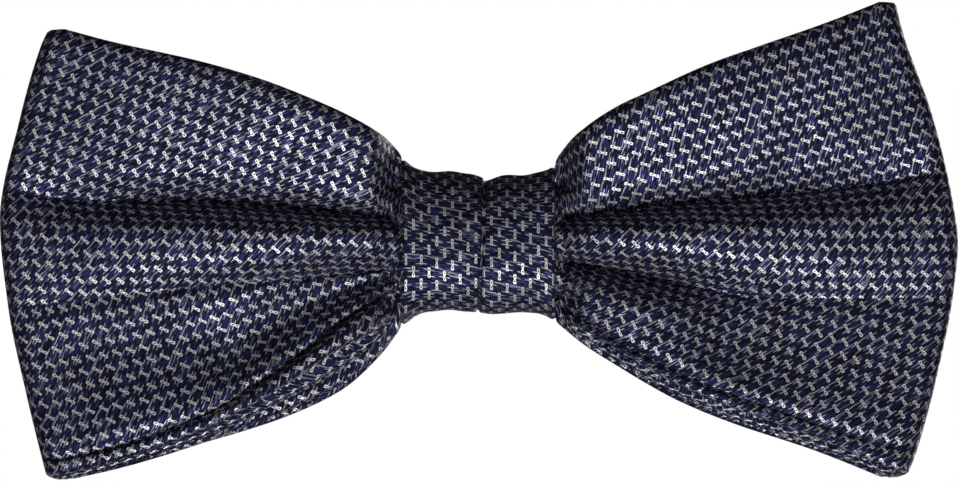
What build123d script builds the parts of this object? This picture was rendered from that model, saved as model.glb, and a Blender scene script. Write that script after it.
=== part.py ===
"""Clip-on bow tie: two folded ribbon bows, a wrapped knot, and a sprung collar clip held by a keeper loop.

The bow is upright, as worn. +X is the viewer's right, +Z is up, and the front faces -Y.
The origin is on the rear face of the clip plate, at its centre, where the shirt collar lies.
All lengths are in millimetres.
"""

from build123d import *
import math
import os

os.makedirs("parts", exist_ok=True)

# --- Knot: a strip wrapped round the pinched middle, running round in the YZ plane ---
KNOT_HALF_WIDTH = 9.1
KNOT_TOP = 8.9
KNOT_BOTTOM = -9.0
KNOT_FRONT = -17.5
KNOT_BACK = -1.5
KNOT_FRONT_RADIUS = 3.5
KNOT_BACK_RADIUS = 2.4
BAND_WALL = 1.2
BAND_SKIN = 0.35
BAND_EDGE_TURN = 0.8

# --- Gathering thread, wound between the pleated waist and the knot band ---
THREAD = 0.4
THREAD_TURNS = 6
THREAD_PITCH = 0.65
THREAD_GAP = 0.1

# --- Ribbon loops: wall with a sealed interlining, solid where pleats fill the waist ---
RIBBON_WALL = 1.4
RIBBON_SKIN = 0.4
RIBBON_EDGE_TURN = 1.0
WAIST_GAP = 0.1
PLEATED_HALF_WIDTH = 10.5
LOOP_GAP = 0.2
END_RADIUS = 2.2
SHOULDER_RADIUS = 14.0
WAIST_RADIUS = 5.0
# How far one loop's edges stand back from the other's, so that both layers show at the rim.
REAR_STEP = 0.8
# Corners of the plan views further out than END_ZONE are end folds, and those nearer than WAIST_ZONE
# are at the waist.
END_ZONE = 50.0
WAIST_ZONE = 10.0
# How far the waist's block reaches into the wings, past the knot's edge.
WAIST_OVERLAP = 0.2
OVERSIZE = 40.0

# --- Wing outlines as (distance from the middle, height); the right wing is the taller one ---
WINGS = {
    "left": {
        "side": -1,
        "top": [(9.2, 9.9), (12.4, 13.4), (20.0, 17.4), (35.0, 22.3)],
        "top_corner": (53.8, 26.8),
        "end": [(57.6, 15.9), (60.0, 3.0), (59.2, -8.3), (56.8, -20.0)],
        "bottom_corner": (53.7, -30.0),
        "bottom": [(35.0, -25.5), (23.5, -21.8), (15.0, -16.9), (9.2, -10.2)],
    },
    "right": {
        "side": 1,
        "top": [(9.2, 9.9), (12.8, 13.7), (20.3, 18.5), (35.0, 24.5)],
        "top_corner": (52.3, 30.2),
        "end": [(57.1, 16.0), (59.8, 4.0), (59.6, -8.0), (57.4, -18.4)],
        "bottom_corner": (54.0, -29.4),
        "bottom": [(35.0, -24.0), (22.9, -19.0), (15.3, -14.4), (9.2, -9.8)],
    },
}

# --- Clip plate with four ears ---
PLATE_HALF_LENGTH = 23.0
PLATE_HALF_HEIGHT = 4.5
PLATE_THICKNESS = 0.8
PLATE_END_RADIUS = 2.5
EAR_THICKNESS = 0.6
EAR_HALF_WIDTH = 1.9
EAR_HEIGHT = 4.2
EAR_CORNER_RADIUS = 1.5

# --- Hinge pins ---
PIN_X = 10.0
PIN_Y = 2.3
PIN_RADIUS = 0.6
PIN_HEAD_RADIUS = 1.0
PIN_HEAD = 0.4
PIN_BORE_CLEARANCE = 0.05

# --- Clip arms ---
ARM_SHEET = 0.6
ARM_HALF_HEIGHT = 3.7
ARM_TAB_X = 5.2
ARM_TIP_X = 22.8
ARM_WEB_Y = 3.7
ARM_LAND_Y = 1.3
ARM_FLANGE_RADIUS = 1.45
ARM_CORNER_RADIUS = 1.6
# The strip's bends: the thumb tab is lifted from TAB_BEND in, the web ends at the shoulder and the
# tip is turned up past the pad.
ARM_TAB_BEND = 2.2
ARM_TAB_LIFT = 0.9
ARM_SHOULDER_X = PIN_X + 3.4
ARM_TIP_LIFT = 1.1
ARM_BEND_RADII = [1.2, 1.2, 1.0, 1.0]
# The outline: narrower by TAB_TAPER at the tab, and widest from the waist to the shoulder.
ARM_TAB_TAPER = 0.5
ARM_WIDE_X = PIN_X - 2.5
ARM_SIDE_RADIUS = 1.0
ARM_TIP_RADIUS = 2.0

# --- Grip pads ---
PAD_LAND_MARGIN = 0.2
PAD_START_X = 17.1
PAD_END_X = 20.9
PAD_HALF_HEIGHT = 3.0
PAD_GAP = 0.08
PAD_GROOVES = 4
PAD_GROOVE_DEPTH = 0.4
PAD_GROOVE_MOUTH = 0.1

# --- Torsion springs ---
SPRING_WIRE = 0.45
SPRING_RADIUS = 1.1
SPRING_HALF_HEIGHT = 1.9
SPRING_LEG = 3.6
# The legs are drawn a little thinner than the coil's wall, so that they start inside it.
SPRING_LEG_RADIUS = 0.19
SPRING_LEG_END_GAP = 0.3
SPRING_FIXED_LEG_DEG = 14.0

# --- Keeper loop and stitches ---
KEEPER_HALF_WIDTH = 5.0
KEEPER_WALL = 0.6
KEEPER_GAP = 0.1
STITCH = 0.3
KEEPER_STITCH_XS = (-4.0, -2.0, 0.0, 2.0, 4.0)
KEEPER_STITCH_LENGTH = 1.1
SEAM_STITCH_XS = (-8.2, -6.6, -5.0, 5.0, 6.6, 8.2)
SEAM_STITCH_LENGTH = 1.1
SEAM_Z = -6.0


def save(shape, node):
    """Write one sub-part, named for its node."""
    shape.label = node
    export_step(shape, f"parts/{node}.step")


def block(x0, x1, y0, y1, z0, z1):
    """A plain box between two corners."""
    size = (x1 - x0, y1 - y0, z1 - z0)
    centre = ((x0 + x1) / 2, (y0 + y1) / 2, (z0 + z1) / 2)
    return Pos(*centre) * Box(*size)


def closed_face(points, radii):
    """A flat face from corner points in XY, each corner rounded to its own radius."""
    return make_face(FilletPolyline(*points, radius=radii, close=True))


# ---------------------------------------------------------------- knot and thread


def knot_section(inset):
    """The knot's section, seen along X and standing in the YZ plane, moved inwards by inset."""
    corners = [
        (KNOT_FRONT, KNOT_BOTTOM),
        (KNOT_BACK, KNOT_BOTTOM),
        (KNOT_BACK, KNOT_TOP),
        (KNOT_FRONT, KNOT_TOP),
    ]
    radii = [KNOT_FRONT_RADIUS, KNOT_BACK_RADIUS, KNOT_BACK_RADIUS, KNOT_FRONT_RADIUS]
    face = closed_face(corners, radii)
    if inset > 0:
        face = offset(face, amount=-inset)
    return Plane.YZ * face


def knot_tube(outer_inset, inner_inset, half_width, centre_x=0.0):
    """A tube along X between two insets of the knot's section."""
    direction = (1, 0, 0)
    outer = extrude(knot_section(outer_inset), amount=half_width, both=True, dir=direction)
    inner = extrude(knot_section(inner_inset), amount=half_width + 1, both=True, dir=direction)
    return Pos(centre_x, 0, 0) * (outer - inner)


def knot_interlining():
    """The stiffener sealed inside the knot band."""
    return knot_tube(BAND_SKIN, BAND_WALL - BAND_SKIN, KNOT_HALF_WIDTH - BAND_EDGE_TURN)


def knot_band():
    """The strip of cloth round the waist, with its interlining's space inside it."""
    return knot_tube(0, BAND_WALL, KNOT_HALF_WIDTH) - knot_interlining()


def gathering_thread():
    """Separate turns of thread round the pleated waist."""
    turns = []
    for turn in range(THREAD_TURNS):
        x = (turn - (THREAD_TURNS - 1) / 2) * THREAD_PITCH
        ring = knot_tube(BAND_WALL + THREAD_GAP, BAND_WALL + THREAD_GAP + THREAD, THREAD / 2, x)
        turns.append(ring)
    return Compound(children=turns)


# ---------------------------------------------------------------- ribbon loops

WAIST_INSET = BAND_WALL + THREAD_GAP + THREAD + WAIST_GAP
WAIST_FRONT = KNOT_FRONT + WAIST_INSET
WAIST_BACK = KNOT_BACK - WAIST_INSET
WAIST_MIDDLE = (WAIST_FRONT + WAIST_BACK) / 2
WAIST_TOP = KNOT_TOP - WAIST_INSET
WAIST_BOTTOM = KNOT_BOTTOM + WAIST_INSET

# Plan views as (distance from the middle, y) along the front side and then the back side.
LOOPS = {
    "front_bow": {
        "front": [(9.2, WAIST_FRONT), (17.0, -18.4), (34.0, -20.0), (60.0, -16.2)],
        "back": [(60.0, -10.8), (34.0, -11.4), (9.2, WAIST_MIDDLE - LOOP_GAP / 2)],
        "top_step": 0.0,
        "end_step": 0.0,
        "bottom_step": REAR_STEP,
    },
    "rear_bow": {
        "front": [(9.2, WAIST_MIDDLE + LOOP_GAP / 2), (34.0, -11.0), (59.6, -10.4)],
        "back": [(59.6, -5.0), (34.0, -3.2), (17.0, -2.4), (9.2, WAIST_BACK)],
        "top_step": REAR_STEP,
        "end_step": REAR_STEP,
        "bottom_step": 0.0,
    },
}


def plan_solid(loop, inset):
    """The loop seen from above, moved inwards by inset and extruded past the wings' height."""
    right = loop["front"] + loop["back"]
    left = [(-x, y) for x, y in reversed(right)]
    corners = right + left
    radii = []
    for x, y in corners:
        if abs(x) > END_ZONE:
            radii.append(END_RADIUS)
        elif abs(x) < WAIST_ZONE:
            radii.append(WAIST_RADIUS)
        else:
            radii.append(SHOULDER_RADIUS)
    face = closed_face(corners, radii)
    if inset > 0:
        face = offset(face, amount=-inset)
    return extrude(face, amount=OVERSIZE, both=True)


def wing_face(wing, top_in, end_in, bottom_in):
    """One wing's outline in the XZ plane, with each edge moved inwards by its own amount."""
    side = wing["side"]

    def place(point, along, up):
        return (side * (point[0] - along), point[1] + up)

    top = [place(p, 0, -top_in) for p in wing["top"]]
    top.append(place(wing["top_corner"], end_in, -top_in))
    end = [place(p, end_in, 0) for p in wing["end"]]
    bottom = [place(wing["bottom_corner"], end_in, bottom_in)]
    bottom += [place(p, 0, bottom_in) for p in wing["bottom"]]
    edges = [
        Spline(*top),
        Spline(top[-1], *end, bottom[0]),
        Spline(*bottom),
        Line(bottom[-1], top[0]),
    ]
    return Plane.XZ * make_face(Wire(edges))


def outline_solid(top_in, end_in, bottom_in, waist_in):
    """Both wings and the waist seen from the front, extruded past the loops' depth."""
    waist = Plane.XZ * (
        Pos(0, (WAIST_TOP + WAIST_BOTTOM) / 2)
        * Rectangle(2 * (KNOT_HALF_WIDTH + WAIST_OVERLAP), WAIST_TOP - WAIST_BOTTOM - 2 * waist_in)
    )
    solid = extrude(waist, amount=OVERSIZE, both=True)
    for wing in WINGS.values():
        solid += extrude(wing_face(wing, top_in, end_in, bottom_in), amount=OVERSIZE, both=True)
    return solid


def waist_trim(inset):
    """What lies outside the waist's rounded section over the knot's width."""
    reach = KNOT_HALF_WIDTH + WAIST_GAP
    around = block(-reach, reach, -OVERSIZE, OVERSIZE, -OVERSIZE, OVERSIZE)
    section = extrude(knot_section(WAIST_INSET + inset), amount=reach + 1, both=True, dir=(1, 0, 0))
    return around - section


def ribbon_core(loop, wall_in, edge_in, waist_in):
    """The loop's filled shape, moved inwards by wall_in, with its edges moved in by edge_in."""
    outline = outline_solid(
        loop["top_step"] + edge_in,
        loop["end_step"] + wall_in,
        loop["bottom_step"] + edge_in,
        waist_in,
    )
    return plan_solid(loop, wall_in) & outline


def interlining(loop):
    """A band all round inside the ribbon's wall, short of the ribbon's finished edges."""
    inner_skin = RIBBON_WALL - RIBBON_SKIN
    outside = ribbon_core(loop, RIBBON_SKIN, RIBBON_EDGE_TURN, RIBBON_EDGE_TURN)
    inside = ribbon_core(loop, inner_skin, -OVERSIZE / 4, -OVERSIZE / 4)
    return outside - inside - waist_trim(RIBBON_EDGE_TURN)


def ribbon(loop):
    """The folded ribbon: open inside each wing, solid at the waist, hollow where it is lined."""
    shape = ribbon_core(loop, 0, 0, 0) - waist_trim(0)
    hollow = ribbon_core(loop, RIBBON_WALL, -OVERSIZE / 4, -OVERSIZE / 4)
    middle = block(
        -PLEATED_HALF_WIDTH, PLEATED_HALF_WIDTH, -OVERSIZE, OVERSIZE, -2 * OVERSIZE, 2 * OVERSIZE
    )
    return shape - (hollow - middle) - interlining(loop)


# ---------------------------------------------------------------- keeper loop and stitches


def keeper_loop():
    """A loop of cloth round the clip plate, flat against the knot's back."""
    inner_z = PLATE_HALF_HEIGHT + KEEPER_GAP
    inner_front = -PLATE_THICKNESS - KEEPER_GAP
    outer = block(
        -KEEPER_HALF_WIDTH,
        KEEPER_HALF_WIDTH,
        inner_front - KEEPER_WALL,
        KEEPER_GAP + KEEPER_WALL,
        -inner_z - KEEPER_WALL,
        inner_z + KEEPER_WALL,
    )
    past = KEEPER_HALF_WIDTH + 1
    inner = block(-past, past, inner_front, KEEPER_GAP, -inner_z, inner_z)
    return outer - inner


def keeper_stitches():
    """Tack stitches from the keeper's top and bottom edges into the knot's back."""
    near = PLATE_HALF_HEIGHT + KEEPER_GAP + KEEPER_WALL
    far = near + KEEPER_STITCH_LENGTH
    stitches = []
    for x in KEEPER_STITCH_XS:
        for low, high in ((near, far), (-far, -near)):
            stitches.append(
                block(x - STITCH / 2, x + STITCH / 2, KNOT_BACK, KNOT_BACK + STITCH, low, high)
            )
    return Compound(children=stitches)


def knot_seam_stitches():
    """Slip stitches along the knot band's overlap, either side of the keeper."""
    half = SEAM_STITCH_LENGTH / 2
    stitches = []
    for x in SEAM_STITCH_XS:
        low_z, high_z = SEAM_Z - STITCH / 2, SEAM_Z + STITCH / 2
        stitches.append(block(x - half, x + half, KNOT_BACK, KNOT_BACK + STITCH, low_z, high_z))
    return Compound(children=stitches)


# ---------------------------------------------------------------- clip


def pin_rod(x, radius, half_length):
    """A round bar on a hinge axis."""
    return Pos(x, PIN_Y, 0) * Cylinder(radius, 2 * half_length)


def clip_plate():
    """The stamped plate with its ears bent back at the top and bottom of each hinge."""
    face = closed_face(
        [
            (-PLATE_HALF_LENGTH, -PLATE_HALF_HEIGHT),
            (PLATE_HALF_LENGTH, -PLATE_HALF_HEIGHT),
            (PLATE_HALF_LENGTH, PLATE_HALF_HEIGHT),
            (-PLATE_HALF_LENGTH, PLATE_HALF_HEIGHT),
        ],
        PLATE_END_RADIUS,
    )
    # Plane.XZ's normal is -Y, so the plate fills from its rear face at y = 0 towards the front.
    plate = extrude(Plane.XZ * face, amount=PLATE_THICKNESS)
    for x in (-PIN_X, PIN_X):
        ear_face = closed_face(
            [
                (x - EAR_HALF_WIDTH, -PLATE_THICKNESS),
                (x + EAR_HALF_WIDTH, -PLATE_THICKNESS),
                (x + EAR_HALF_WIDTH, EAR_HEIGHT),
                (x - EAR_HALF_WIDTH, EAR_HEIGHT),
            ],
            [0, 0, EAR_CORNER_RADIUS, EAR_CORNER_RADIUS],
        )
        for z in (-PLATE_HALF_HEIGHT, PLATE_HALF_HEIGHT - EAR_THICKNESS):
            plate += Pos(0, 0, z) * extrude(ear_face, amount=EAR_THICKNESS)
        plate -= pin_rod(x, PIN_RADIUS, PLATE_HALF_HEIGHT + 1)
    return plate


def hinge_pin(side):
    """A pin through the ears with a riveted head at each end."""
    pin = pin_rod(side * PIN_X, PIN_RADIUS, PLATE_HALF_HEIGHT)
    for z in (-PLATE_HALF_HEIGHT - PIN_HEAD / 2, PLATE_HALF_HEIGHT + PIN_HEAD / 2):
        head = Cylinder(PIN_HEAD_RADIUS, PIN_HEAD)
        pin += Pos(side * PIN_X, PIN_Y, z) * head
    return pin


def arm_strip():
    """The right arm's bent strip seen along Z: thumb tab, web over the hinge, jaw land and tip."""
    under = [
        (ARM_TAB_X, ARM_WEB_Y + ARM_TAB_LIFT),
        (ARM_TAB_X + ARM_TAB_BEND, ARM_WEB_Y),
        (ARM_SHOULDER_X, ARM_WEB_Y),
        (PAD_START_X - PAD_LAND_MARGIN, ARM_LAND_Y),
        (PAD_END_X + PAD_LAND_MARGIN, ARM_LAND_Y),
        (ARM_TIP_X, ARM_LAND_Y + ARM_TIP_LIFT),
    ]
    line = FilletPolyline(*under, radius=ARM_BEND_RADII)
    return make_face(offset(line, amount=ARM_SHEET, side=Side.LEFT))


def clip_arm():
    """The right arm: strip cut to its rounded outline, with two flanges bored for the pin."""
    strip = extrude(arm_strip(), amount=ARM_HALF_HEIGHT, both=True)
    lower_edge = [
        (ARM_TAB_X - 1, -ARM_HALF_HEIGHT + ARM_TAB_TAPER),
        (ARM_WIDE_X, -ARM_HALF_HEIGHT),
        (ARM_SHOULDER_X, -ARM_HALF_HEIGHT),
        (ARM_TIP_X + 1, -PAD_HALF_HEIGHT),
    ]
    upper_edge = [(x, -z) for x, z in reversed(lower_edge)]
    radii = [ARM_CORNER_RADIUS, ARM_SIDE_RADIUS, ARM_SIDE_RADIUS, ARM_TIP_RADIUS]
    outline = closed_face(lower_edge + upper_edge, radii + radii[::-1])
    arm = strip & extrude(Plane.XZ * outline, amount=OVERSIZE, both=True)
    top = ARM_WEB_Y + ARM_SHEET / 2
    boss = Pos(PIN_X, PIN_Y) * Circle(ARM_FLANGE_RADIUS)
    flange_face = boss + Pos(PIN_X, (PIN_Y + top) / 2) * Rectangle(2 * ARM_FLANGE_RADIUS, top - PIN_Y)
    for z in (-ARM_HALF_HEIGHT, ARM_HALF_HEIGHT - ARM_SHEET):
        arm += Pos(0, 0, z) * extrude(flange_face, amount=ARM_SHEET)
    return arm - pin_rod(PIN_X, PIN_RADIUS + PIN_BORE_CLEARANCE, PLATE_HALF_HEIGHT + 1)


def grip_pad():
    """The right arm's rubber pad, grooved across on the face that meets the collar."""
    pad = block(PAD_START_X, PAD_END_X, PAD_GAP, ARM_LAND_Y, -PAD_HALF_HEIGHT, PAD_HALF_HEIGHT)
    pitch = (PAD_END_X - PAD_START_X) / (PAD_GROOVES + 1)
    for groove in range(PAD_GROOVES):
        x = PAD_START_X + (groove + 1) * pitch
        half = pitch / 4
        mouth = PAD_GAP - PAD_GROOVE_MOUTH
        notch = make_face(
            Polyline((x - half, mouth), (x + half, mouth), (x, PAD_GAP + PAD_GROOVE_DEPTH), close=True)
        )
        pad -= extrude(notch, amount=PAD_HALF_HEIGHT + 1, both=True)
    return pad


def spring_leg(start, end, z):
    """A straight length of spring wire between two points seen along Z."""
    run = Vector(*end) - Vector(*start)
    plane = Plane(origin=(start[0], start[1], z), z_dir=(run.X, run.Y, 0))
    return extrude(plane * Circle(SPRING_LEG_RADIUS), amount=run.length)


def torsion_spring():
    """The right spring: its coil as a tube round the pin, one leg on the plate, one under the tab."""
    half_wire = SPRING_WIRE / 2
    coil = Cylinder(SPRING_RADIUS + half_wire, 2 * SPRING_HALF_HEIGHT)
    coil -= Cylinder(SPRING_RADIUS - half_wire, 2 * SPRING_HALF_HEIGHT + 1)
    coil = Pos(PIN_X, PIN_Y, 0) * coil
    leg_z = SPRING_HALF_HEIGHT - SPRING_LEG_END_GAP
    angle = math.radians(SPRING_FIXED_LEG_DEG)
    foot = (PIN_X + SPRING_RADIUS * math.sin(angle), PIN_Y - SPRING_RADIUS * math.cos(angle))
    foot_end = (foot[0] - SPRING_LEG * math.cos(angle), foot[1] - SPRING_LEG * math.sin(angle))
    head = (PIN_X, PIN_Y + SPRING_RADIUS)
    head_end = (PIN_X - SPRING_LEG, head[1])
    return coil + spring_leg(foot, foot_end, -leg_z) + spring_leg(head, head_end, leg_z)


def left_of(shape):
    """The same piece on the left side."""
    return mirror(shape, about=Plane.YZ)


def main():
    for node, loop in LOOPS.items():
        save(ribbon(loop), node)
        save(interlining(loop), f"{node}_interlining")
    save(knot_band(), "knot_band")
    save(knot_interlining(), "knot_interlining")
    save(gathering_thread(), "gathering_thread")
    save(knot_seam_stitches(), "knot_seam_stitches")
    save(keeper_loop(), "keeper_loop")
    save(keeper_stitches(), "keeper_stitches")
    save(clip_plate(), "clip_plate")
    save(hinge_pin(-1), "left_hinge_pin")
    save(hinge_pin(1), "right_hinge_pin")
    for name, maker in (("spring", torsion_spring), ("clip_arm", clip_arm), ("grip_pad", grip_pad)):
        shape = maker()
        save(shape, f"right_{name}")
        save(left_of(shape), f"left_{name}")


main()
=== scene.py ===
"""The looks of the clip-on bow tie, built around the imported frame.

Shapes are worked out in millimetres in the frame's own axes: +X to the viewer's right, +Z up, and
the front towards -Y. A wing's stations are given by d, the distance from the middle. Meshes are
turned into metres when they are made.
"""

import math
from functools import partialmethod

import bmesh
import bpy
import numpy as np
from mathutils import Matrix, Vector


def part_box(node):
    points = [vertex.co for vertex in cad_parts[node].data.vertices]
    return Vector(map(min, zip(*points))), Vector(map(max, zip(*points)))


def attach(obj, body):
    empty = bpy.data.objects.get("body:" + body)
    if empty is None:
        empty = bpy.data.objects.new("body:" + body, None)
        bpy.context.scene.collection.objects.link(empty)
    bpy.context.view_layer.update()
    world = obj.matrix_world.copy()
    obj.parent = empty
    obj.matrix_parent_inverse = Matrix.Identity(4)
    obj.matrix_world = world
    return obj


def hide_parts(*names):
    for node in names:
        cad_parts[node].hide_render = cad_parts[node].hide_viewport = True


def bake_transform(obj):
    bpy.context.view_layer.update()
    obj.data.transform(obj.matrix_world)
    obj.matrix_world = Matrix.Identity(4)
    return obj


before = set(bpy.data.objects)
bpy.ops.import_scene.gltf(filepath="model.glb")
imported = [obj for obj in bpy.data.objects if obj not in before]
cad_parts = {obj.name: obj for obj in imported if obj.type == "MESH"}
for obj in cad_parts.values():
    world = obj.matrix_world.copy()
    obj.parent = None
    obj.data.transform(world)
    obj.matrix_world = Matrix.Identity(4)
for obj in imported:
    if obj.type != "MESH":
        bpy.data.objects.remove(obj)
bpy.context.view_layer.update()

MM = 0.001


def node_box(node):
    """A CAD node's lowest and highest corners, in millimetres."""
    low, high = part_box(node)
    return np.array(low) / MM, np.array(high) / MM


BAND_LOW, BAND_HIGH = node_box("knot_band")
FRONT_LOW, _ = node_box("front_bow")
KEEPER_LOW, KEEPER_HIGH = node_box("keeper_loop")
PIN_LOW, PIN_HIGH = node_box("right_hinge_pin")

# ---------------------------------------------------------------- driving dimensions, mm

CLOTH = 1.1                       # a finished ribbon: two layers of cloth over its interlining
THROAT = BAND_HIGH[0]             # where a wing comes out of the knot band
BAND_WALL = 0.9
KNOT_TOP = 8.45                   # half heights of the knot, up and down
KNOT_BOTTOM = 8.75
KNOT_CREST = -2.3                 # height of the knot's foremost line
THREAD_INSET = 1.62               # the gathering thread's centre below the knot's face
WAIST_INSET = 1.85                # the gathered ribbons' face below the knot's face
BAND_CENTRE_Y = -9.4
THROAT_RUN = 0.9                  # a wing opens to its own height within this, past the throat
CREST_RUN = 4.5                   # and reaches its own depth within this
NEAR_END = 22.0                   # a fold's outer profiles take over from here,
FAR_RUN = 12.0                    # over this distance
END_FOLD_OUT = 2.2                # how far the end fold's round goes out
RIM_DEPTH_NEAR = 1.7              # how far the rims curl back, at the knot and at the ends
RIM_DEPTH_FAR = 1.1
INTERLINING_DEPTHS = (0.3, 0.5)   # its two faces below the ribbon's face
KNOT_STIFFENER_DEPTHS = (0.3, 0.6)
STITCH_RADIUS = 0.15
GATHER_RADIUS = 0.18
SPRING_WIRE_RADIUS = 0.2

BIAS_DEG = 42.0                   # the light bars' angle below the ribbon's length
BAR_REPEAT = 2.75                 # along a row of bars
BAR_ROW = 1.05                    # from one row to the next
BAR_LENGTH = 1.22
BAR_WIDTH = 0.32
BAR_SPREAD = 0.18                 # how fast a bar widens towards its ends
BAR_PINCH = 0.03                  # how much its waist is drawn in
BAR_SOFT = 0.05                   # the run over which its end fades
THREAD_PITCH = BAR_REPEAT / 10


# ---------------------------------------------------------------- small helpers


def curve(points):
    """A smooth function through (x, value) points that never overshoots them."""
    xs, ys = np.array(points, float).T
    h = np.diff(xs)
    slope = np.diff(ys) / h
    m = np.concatenate([slope[:1], (slope[:-1] + slope[1:]) / 2, slope[-1:]])
    for i in range(1, len(xs) - 1):
        if slope[i - 1] * slope[i] <= 0:
            m[i] = 0
        else:
            m[i] = 2 * slope[i - 1] * slope[i] / (slope[i - 1] + slope[i])

    def value(x):
        x = np.asarray(x, float)
        i = np.clip(np.searchsorted(xs, x) - 1, 0, len(h) - 1)
        t = np.clip((x - xs[i]) / h[i], 0, 1)
        inside = (
            (2 * t**3 - 3 * t**2 + 1) * ys[i]
            + (t**3 - 2 * t**2 + t) * h[i] * m[i]
            + (3 * t**2 - 2 * t**3) * ys[i + 1]
            + (t**3 - t**2) * h[i] * m[i + 1]
        )
        below = np.minimum(x - xs[0], 0) * m[0]
        above = np.maximum(x - xs[-1], 0) * m[-1]
        return inside + below + above

    return value


def smooth(t):
    """0 to 1 with no slope at either end."""
    t = np.clip(t, 0, 1)
    return t * t * (3 - 2 * t)


def lerp(a, b, t):
    return a + (b - a) * t


def run_lengths(path):
    """How far along a path each of its points lies."""
    return np.concatenate([[0], np.cumsum(np.linalg.norm(np.diff(path, axis=0), axis=1))])


def hump(offset, width):
    """A bell of height 1 at no offset."""
    return np.exp(-((offset / width) ** 2))


def add_object(name, data):
    obj = bpy.data.objects.new(name, data)
    bpy.context.scene.collection.objects.link(obj)
    return obj


def make_piece(name, points, faces, uvs):
    """A smooth mesh object from points in mm; uvs hold one fabric coordinate per face corner."""
    mesh = bpy.data.meshes.new(name)
    mesh.from_pydata((np.reshape(points, (-1, 3)) * MM).tolist(), [], [list(map(int, f)) for f in faces])
    layer = mesh.uv_layers.new(name="Fabric")
    layer.data.foreach_set("uv", np.asarray(uvs, np.float32).ravel())
    mesh.polygons.foreach_set("use_smooth", [True] * len(mesh.polygons))
    mesh.update()
    return add_object(name, mesh)


# ---------------------------------------------------------------- the wings' shape

# How a panel comes forward from a fold line beside it: the share of the fold's depth that is left at
# each share of the way across the panel. A panel's low and high profiles start at its lower and its
# upper fold line, and low_far and high_far, where given, take over farther out.
ROUND = [(0.0, 1.0), (0.04, 0.66), (0.09, 0.42), (0.16, 0.22), (0.26, 0.07), (0.36, 0.0), (1.0, 0.0)]
SLOPE = [(0.0, 1.0), (0.07, 0.74), (0.15, 0.5), (0.24, 0.28), (0.34, 0.12), (0.46, 0.03), (0.58, 0.0),
         (1.0, 0.0)]
DIP = [(0.0, 1.0), (0.03, 0.82), (0.06, 0.76), (0.1, 0.76), (0.2, 0.82), (0.32, 0.86), (0.5, 0.7),
       (0.7, 0.36), (0.86, 0.1), (0.95, 0.0), (1.0, 0.0)]
STEEP = [(0.0, 1.0), (0.07, 0.66), (0.14, 0.4), (0.22, 0.16), (0.32, 0.0), (1.0, 0.0)]
LONG_SLOPE = [(0.0, 1.0), (0.05, 0.82), (0.1, 0.66), (0.15, 0.52), (0.2, 0.43), (0.3, 0.35), (0.5, 0.23),
              (0.7, 0.11), (0.88, 0.02), (1.0, 0.0)]
QUICK = [(0.0, 1.0), (0.1, 0.62), (0.2, 0.28), (0.3, 0.1), (0.42, 0.0), (1.0, 0.0)]
LATE = [(0.0, 1.0), (0.08, 0.82), (0.18, 0.72), (0.4, 0.6), (0.6, 0.44), (0.78, 0.2), (0.92, 0.03),
        (1.0, 0.0)]
NARROW = [(0.0, 1.0), (0.02, 0.6), (0.05, 0.2), (0.09, 0.0), (1.0, 0.0)]
RIM = [(0.0, 1.0), (0.02, 0.55), (0.05, 0.22), (0.1, 0.06), (0.15, 0.0), (1.0, 0.0)]

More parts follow.
